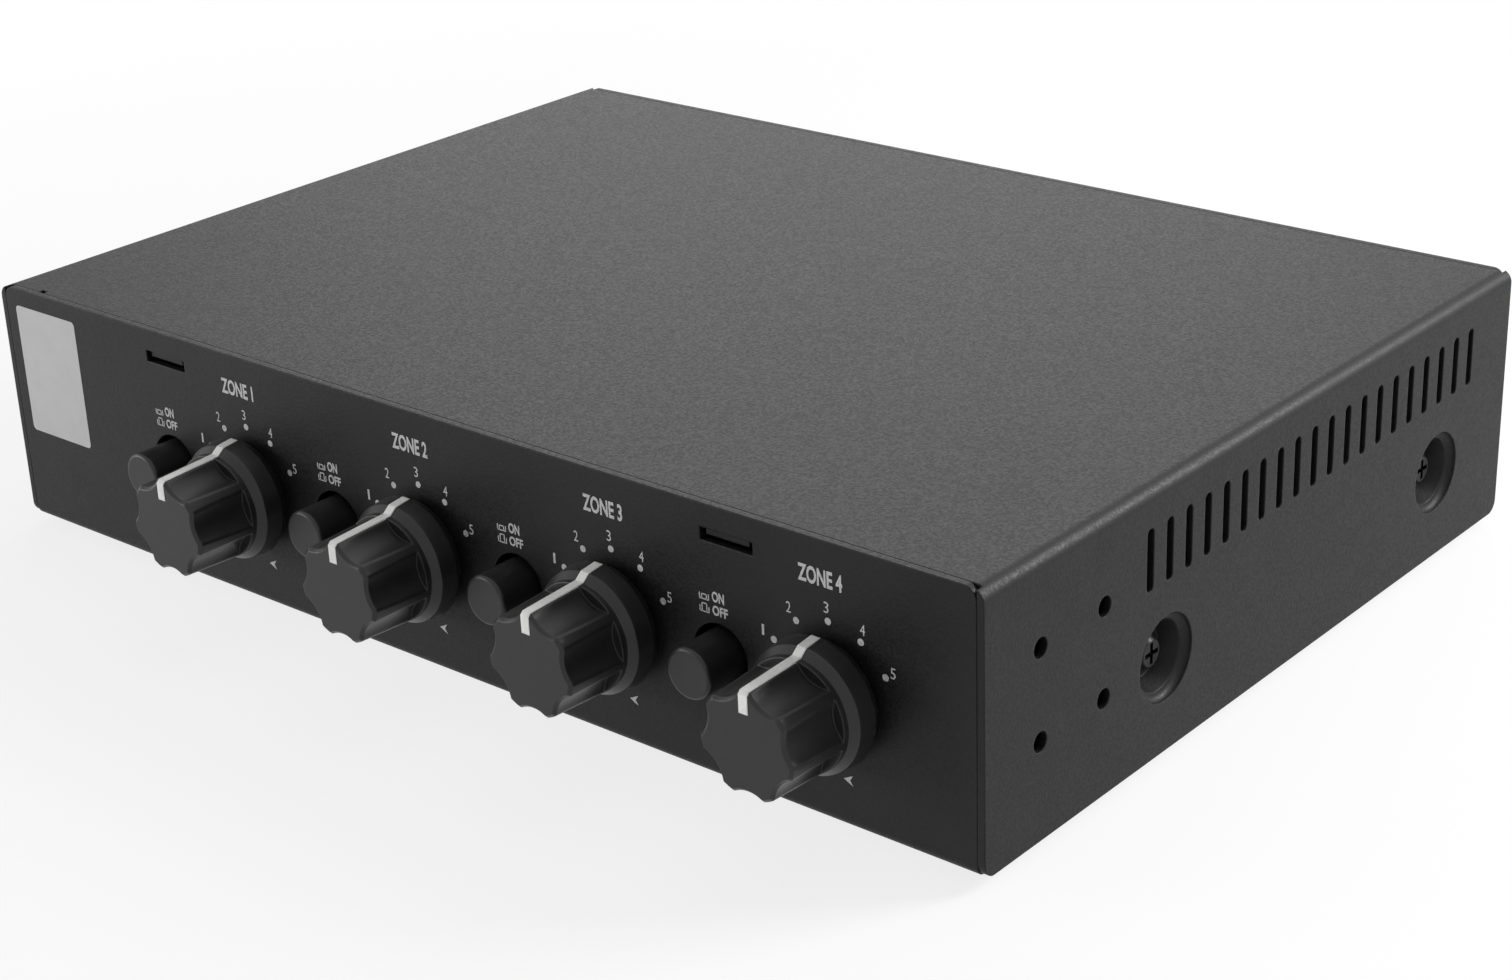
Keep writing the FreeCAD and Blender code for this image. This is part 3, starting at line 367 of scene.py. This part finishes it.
def printed_words(name, words, left, low, right, high, weight):
    """Printed words that fill a rectangle of the front panel. The weight makes their strokes
    bolder, as a share of the size of the type."""
    film = bpy.context.scene.selector_print.film
    half_thick = 0.5
    curve = bpy.data.curves.new(name, "FONT")
    curve.body = words
    curve.offset = weight
    curve.extrude = half_thick
    curve.resolution_u = 4
    sample = bpy.data.objects.new(name, curve)
    bpy.context.scene.collection.objects.link(sample)
    bpy.context.view_layer.update()
    seen = sample.evaluated_get(bpy.context.evaluated_depsgraph_get())
    mesh = bpy.data.meshes.new_from_object(seen)
    bpy.data.objects.remove(sample)
    xs = [v.co.x for v in mesh.vertices]
    ys = [v.co.y for v in mesh.vertices]
    wide = (right - left) / (max(xs) - min(xs))
    tall = (high - low) / (max(ys) - min(ys))
    for vertex in mesh.vertices:
        x, y, z = vertex.co
        vertex.co = (left + (x - min(xs)) * wide, PANEL_Y - film * (z + half_thick),
                     low + (y - min(ys)) * tall)
    to_panel(name, mesh)


# Operators, in the order in which they run

class SELECTOR_OT_coat_case(bpy.types.Operator):
    """Powder coat the tray and cover, and finish their screws and feet"""
    bl_idname = "selector.coat_case"
    bl_label = "Coat the case"

    def execute(self, context):
        dress(powder_coated_steel(), "chassis", "top_cover")
        dress(blackened_steel(), "cover_screws")
        dress(moulded_rubber(), "rubber_feet")
        return {"FINISHED"}


class SELECTOR_OT_dress_knobs(bpy.types.Operator):
    """Finish the knobs, their pointers and shafts, and the hardware behind them"""
    bl_idname = "selector.dress_knobs"
    bl_label = "Dress the knobs"

    def execute(self, context):
        look = context.scene.selector_control
        dress(moulded_plastic("spark_textured_abs", look.knob, 0.34, look.spark_grain, 0.01 * MM),
              *every("volume_knob"))
        dress(moulded_plastic("white_abs_inlay", look.pointer, 0.4, 0.3 * MM, 0.004 * MM),
              *every("pointer_line"))
        dress(plated_metal("turned_aluminium", linear("#c9c9c8"), 0.35), *every("switch_shaft"))
        dress(plated_metal("nickel_plated_brass", linear("#bdb6a8"), 0.3),
              "bushing_nuts", "bushing_washers", "wire_clamps")
        return {"FINISHED"}


class SELECTOR_OT_dress_buttons(bpy.types.Operator):
    """Finish the push buttons and their plungers"""
    bl_idname = "selector.dress_buttons"
    bl_label = "Dress the buttons"

    def execute(self, context):
        look = context.scene.selector_control
        dress(moulded_plastic("satin_abs", look.button, 0.36, look.spark_grain, 0.006 * MM),
              *every("power_button"))
        dress(moulded_plastic("natural_acetal", linear("#d9d8d2"), 0.4, 0.3 * MM, 0.005 * MM),
              *every("button_plunger"))
        return {"FINISHED"}


class SELECTOR_OT_dress_boards(bpy.types.Operator):
    """Finish the boards, their switches and headers, and the posts and screws"""
    bl_idname = "selector.dress_boards"
    bl_label = "Dress the boards"

    def execute(self, context):
        dress(solder_mask(), "control_board", "main_board")
        dress(moulded_plastic("glass_filled_nylon", linear("#202326"), 0.5, 0.3 * MM, 0.01 * MM),
              *every("rotary_switch"), *every("push_switch"), "pin_headers")
        dress(plated_metal("zinc_plated_steel", linear("#b9bec4"), 0.32),
              "board_standoffs", "board_screws", "clinch_nuts", "terminal_screws")
        return {"FINISHED"}


class SELECTOR_OT_dress_autoformers(bpy.types.Operator):
    """Finish the cores, bobbins and windings of the autoformers"""
    bl_idname = "selector.dress_autoformers"
    bl_label = "Dress the autoformers"

    def execute(self, context):
        dress(stacked_laminations(), *every("autoformer_core"))
        dress(moulded_plastic("natural_nylon", linear("#d6cfb4"), 0.5, 0.5 * MM, 0.01 * MM),
              *every("autoformer_bobbin"))
        dress(wound_wire(), *every("autoformer_winding"))
        return {"FINISHED"}


class SELECTOR_OT_dress_terminals(bpy.types.Operator):
    """Finish the rear terminal blocks"""
    bl_idname = "selector.dress_terminals"
    bl_label = "Dress the terminals"

    def execute(self, context):
        dress(moulded_plastic("green_polyamide", linear("#1f6b3c"), 0.42, 0.35 * MM, 0.008 * MM),
              *every("terminal_block"), "terminal_block_input")
        return {"FINISHED"}


class SELECTOR_OT_print_zones(bpy.types.Operator):
    """Print the zone names above the knobs"""
    bl_idname = "selector.print_zones"
    bl_label = "Print the zone names"

    # A name's middle from the knob's axis, its half width, and its foot and head over the base
    ASIDE = -1.2 * MM
    HALF_WIDE = 3.9 * MM
    FOOT = BASE_Z + 36.9 * MM
    HEAD = BASE_Z + 39.6 * MM
    WEIGHT = 0.028

    def execute(self, context):
        for zone, (x, _) in zip(ZONES, KNOB_AXES):
            middle = x + self.ASIDE
            printed_words(f"zone_name_{zone}", f"ZONE {zone}", middle - self.HALF_WIDE, self.FOOT,
                          middle + self.HALF_WIDE, self.HEAD, self.WEIGHT)
        return {"FINISHED"}


class SELECTOR_OT_print_dials(bpy.types.Operator):
    """Print the dots, the numbers and the small arrow of each dial"""
    bl_idname = "selector.print_dials"
    bl_label = "Print the dials"

    # How far each number's middle is from its dot, across and up in millimetres
    NUMBER_PLACES = ((-1.95, 1.0), (-1.3, 1.75), (-0.25, 2.05), (0.35, 1.95), (1.3, 1.0))
    NUMBER_WIDE = 0.85 * MM
    NUMBER_TALL = 1.7 * MM
    # A one is this share as wide as the other numbers
    ONE_SHARE = 0.5
    # The dot that stands straight over the knob
    TOP_DOT = 2
    # The arrow's middle from the knob's axis, half its length, and how far its notch lies
    # behind its middle as a share of that
    ARROW_ACROSS = 2.9 * MM
    ARROW_UP = -12.55 * MM
    ARROW_SIZE = 0.85 * MM
    ARROW_NOTCH = 0.35

    def execute(self, context):
        look = context.scene.selector_print
        for zone, (x, z) in zip(ZONES, KNOB_AXES):
            marks = []
            for index, (across, up) in enumerate(self.NUMBER_PLACES):
                turn = (index - self.TOP_DOT) * look.step
                dot_x = x + look.dial_radius * math.sin(turn)
                dot_z = z + look.dial_radius * math.cos(turn)
                marks.append(disc(dot_x, dot_z, look.dot_radius))
                self.number(zone, index + 1, dot_x + across * MM, dot_z + up * MM)
            marks.append(self.arrow(x + self.ARROW_ACROSS, z + self.ARROW_UP))
            to_panel(f"dial_marks_{zone}", film_of(marks))
        return {"FINISHED"}

    def number(self, zone, number, x, z):
        """One number of a dial, centred on a point."""
        wide = self.NUMBER_WIDE * (self.ONE_SHARE if number == 1 else 1)
        printed_words(f"dial_{zone}_number_{number}", str(number),
                      x - wide / 2, z - self.NUMBER_TALL / 2,
                      x + wide / 2, z + self.NUMBER_TALL / 2, 0.0)

    def arrow(self, x, z):
        """The outline of a notched arrow that points to the left."""
        size = self.ARROW_SIZE
        return [(x - size, z), (x + size, z - size),
                (x + size * self.ARROW_NOTCH, z), (x + size, z + size)]


class SELECTOR_OT_print_switches(bpy.types.Operator):
    """Print on and off over each button, each with a small push-button sign"""
    bl_idname = "selector.print_switches"
    bl_label = "Print the switch legends"

    # Each word's left and right edge from the button's axis, and its foot and head
    ON_BOX = (-1.1 * MM, BASE_Z + 28.9 * MM, 1.2 * MM, BASE_Z + 30.6 * MM)
    OFF_BOX = (-1.1 * MM, BASE_Z + 26.8 * MM, 1.8 * MM, BASE_Z + 28.4 * MM)
    WEIGHT = 0.03
    # The signs' middle from the button's axis, and the height of each one's panel line
    SIGN_ASIDE = -2.6 * MM
    ON_LINE = BASE_Z + 28.9 * MM
    OFF_LINE = BASE_Z + 26.9 * MM

    def execute(self, context):
        for zone, (x, _) in zip(ZONES, BUTTON_AXES):
            for word, (left, low, right, high) in (("ON", self.ON_BOX), ("OFF", self.OFF_BOX)):
                printed_words(f"legend_{word.lower()}_{zone}", word, x + left, low,
                              x + right, high, self.WEIGHT)
            signs = self.sign(x + self.SIGN_ASIDE, self.ON_LINE, pushed=True)
            signs += self.sign(x + self.SIGN_ASIDE, self.OFF_LINE, pushed=False)
            to_panel(f"switch_signs_{zone}", film_of(signs))
        return {"FINISHED"}

    def sign(self, x, z, pushed):
        """A panel line with two ends turned up, and a button that is in or out of it."""
        line = 0.18 * MM
        half = 0.85 * MM
        ends = z + 0.9 * MM
        button = 0.45 * MM
        top = z + (0.75 if pushed else 1.3) * MM
        return [
            stroke((x - half, z), (x + half, z), line),
            stroke((x - half, z), (x - half, ends), line),
            stroke((x + half, z), (x + half, ends), line),
            stroke((x - button, top), (x + button, top), line),
            stroke((x - button, z), (x - button, top), line),
            stroke((x + button, z), (x + button, top), line),
        ]


class SELECTOR_OT_print_badge(bpy.types.Operator):
    """Print a plain pale block at the left of the front panel"""
    bl_idname = "selector.print_badge"
    bl_label = "Print the plain block"

    LEFT = -102.2 * MM
    LOW = BASE_Z + 17.4 * MM
    RIGHT = -85.9 * MM
    HIGH = BASE_Z + 40.9 * MM
    CORNER = 0.8 * MM

    def execute(self, context):
        block = rounded(self.LEFT, self.LOW, self.RIGHT, self.HIGH, self.CORNER)
        to_panel("pale_block", film_of([block]))
        return {"FINISHED"}


class SELECTOR_OT_set_stage(bpy.types.Operator):
    """Lay the floor and set the lamps, the world and the camera"""
    bl_idname = "selector.set_stage"
    bl_label = "Set the stage"

    # Each lamp's name, its place, the spot it points at, its side in metres and its power in watts
    LAMPS = (
        ("overhead_softbox", (0.0, 0.45, 1.0), (0, 0.05, 0.04), 1.2, 3.1),
        ("back_softbox", (-0.75, 0.95, 0.62), (0, 0.0, 0.04), 0.8, 2.5),
        ("left_softbox", (-0.9, -0.8, 0.08), (-0.02, -0.07, 0.02), 0.7, 9.4),
        ("right_fill", (0.46, 0.42, 0.36), (0.1, 0.09, 0.04), 0.25, 4.6),
    )
    FLOOR_RADIUS = 6.0
    # Where the floor starts to fade into the background, as a share of its reach, and how
    # much of the background it already shows under the object
    FADE_START = 0.35
    FADE_LEAST = 0.8
    # The strength of the world for the light on the object, and behind it, where it is white
    AMBIENT = 0.3
    BACKGROUND = 1.0
    LENS = 66.44
    SENSOR = 36.0
    CAMERA_PLACE = (0.29771, PANEL_Y - 0.26581, BASE_Z + 0.20297)
    CAMERA_TURN = (66.2746, 2.108, 39.9689)

    def execute(self, context):
        self.lay_floor(context)
        self.light_world(context)
        for lamp in self.LAMPS:
            soft_lamp(*lamp)
        self.set_camera(context)
        context.scene.view_settings.view_transform = "Standard"
        return {"FINISHED"}

    def lay_floor(self, context):
        look = context.scene.selector_stage
        build = bmesh.new()
        bmesh.ops.create_circle(build, cap_ends=True, segments=96, radius=self.FLOOR_RADIUS)
        mesh = bpy.data.meshes.new("floor")
        build.to_mesh(mesh)
        build.free()
        floor = bpy.data.objects.new("floor", mesh)
        context.scene.collection.objects.link(floor)
        finish, tree, shader = start_finish("matt_white_paper", look.floor, 0.9, sheen=0.0)
        place = add_node(tree, "TexCoord")
        away = add_node(tree, "VectorMath", {"operation": "LENGTH"},
                        links={0: place.outputs["Object"]})
        fade = add_node(tree, "MapRange", {"interpolation_type": "SMOOTHSTEP"}, {
            "From Min": look.reach * self.FADE_START, "From Max": look.reach,
            "To Min": self.FADE_LEAST}, {"Value": away.outputs["Value"]})
        white = add_node(tree, "Emission", inputs={"Color": (1, 1, 1, 1), "Strength": 1.0})
        share = add_node(tree, "Math", {"operation": "MULTIPLY"}, links={
            0: fade.outputs["Result"], 1: background_rays(tree)})
        blend = add_node(tree, "MixShader", links={
            0: share.outputs["Value"], 1: shader.outputs["BSDF"], 2: white.outputs["Emission"]})
        output = next(n for n in tree.nodes if n.type == "OUTPUT_MATERIAL")
        tree.links.new(blend.outputs["Shader"], output.inputs["Surface"])
        mesh.materials.append(finish)

    def light_world(self, context):
        world = bpy.data.worlds.new("studio")
        context.scene.world = world
        world.use_nodes = True
        tree = world.node_tree
        tree.nodes.clear()
        strength = add_node(tree, "MapRange", inputs={
            "To Min": self.AMBIENT, "To Max": self.BACKGROUND},
            links={"Value": background_rays(tree)})
        sky = add_node(tree, "Background", inputs={"Color": (1, 1, 1, 1)},
                       links={"Strength": strength.outputs["Result"]})
        add_node(tree, "OutputWorld", links={"Surface": sky.outputs["Background"]})

    def set_camera(self, context):
        """The photograph's viewing angle, solved from the corners of the case."""
        data = bpy.data.cameras.new("camera")
        data.sensor_width = self.SENSOR
        data.lens = self.LENS
        data.clip_end = 20
        camera = bpy.data.objects.new("camera", data)
        camera.location = self.CAMERA_PLACE
        camera.rotation_euler = Euler([math.radians(a) for a in self.CAMERA_TURN])
        context.scene.collection.objects.link(camera)
        context.scene.camera = camera


def background_rays(tree):
    """One for the rays that see the white background itself, and nought for the rest."""
    path = add_node(tree, "LightPath")
    direct = add_node(tree, "Math", {"operation": "MAXIMUM"}, links={
        0: path.outputs["Is Camera Ray"], 1: path.outputs["Is Transmission Ray"]})
    seen = add_node(tree, "Math", {"operation": "MAXIMUM"}, links={
        0: direct.outputs["Value"], 1: path.outputs["Is Glossy Ray"]})
    return seen.outputs["Value"]


def soft_lamp(name, place, target, size, power):
    """A square soft lamp that points at a spot."""
    data = bpy.data.lights.new(name, "AREA")
    data.size = size
    data.energy = power
    lamp = bpy.data.objects.new(name, data)
    lamp.location = place
    aim = Vector(target) - Vector(place)
    lamp.rotation_euler = aim.to_track_quat("-Z", "Y").to_euler()
    lamp.visible_camera = False
    bpy.context.scene.collection.objects.link(lamp)


OPERATORS = (
    SELECTOR_OT_set_stage,
    SELECTOR_OT_coat_case,
    SELECTOR_OT_dress_knobs,
    SELECTOR_OT_dress_buttons,
    SELECTOR_OT_dress_boards,
    SELECTOR_OT_dress_autoformers,
    SELECTOR_OT_dress_terminals,
    SELECTOR_OT_print_zones,
    SELECTOR_OT_print_dials,
    SELECTOR_OT_print_switches,
    SELECTOR_OT_print_badge,
)


class SELECTOR_PT_sidebar(bpy.types.Panel):
    """The sizes and colours, and a button for every step"""
    bl_idname = "SELECTOR_PT_sidebar"
    bl_label = "Speaker selector"
    bl_space_type = "VIEW_3D"
    bl_region_type = "UI"
    bl_category = "Selector"

    def draw(self, context):
        for name in SETTINGS:
            group = getattr(context.scene, name)
            box = self.layout.box()
            for key in group.__annotations__:
                box.prop(group, key)
        for operator in OPERATORS:
            self.layout.operator(operator.bl_idname)


SETTINGS = {
    "selector_case": CaseSettings,
    "selector_control": ControlSettings,
    "selector_print": PrintSettings,
    "selector_stage": StageSettings,
}


def register():
    for group in SETTINGS.values():
        bpy.utils.register_class(group)
    for operator in OPERATORS:
        bpy.utils.register_class(operator)
    bpy.utils.register_class(SELECTOR_PT_sidebar)
    for name, group in SETTINGS.items():
        setattr(bpy.types.Scene, name, PointerProperty(type=group))


def unregister():
    for name in SETTINGS:
        delattr(bpy.types.Scene, name)
    bpy.utils.unregister_class(SELECTOR_PT_sidebar)
    for operator in reversed(OPERATORS):
        bpy.utils.unregister_class(operator)
    for group in reversed(SETTINGS.values()):
        bpy.utils.unregister_class(group)


def main():
    register()
    for operator in OPERATORS:
        family, action = operator.bl_idname.split(".")
        getattr(getattr(bpy.ops, family), action)()


if __name__ == "__main__":
    main()
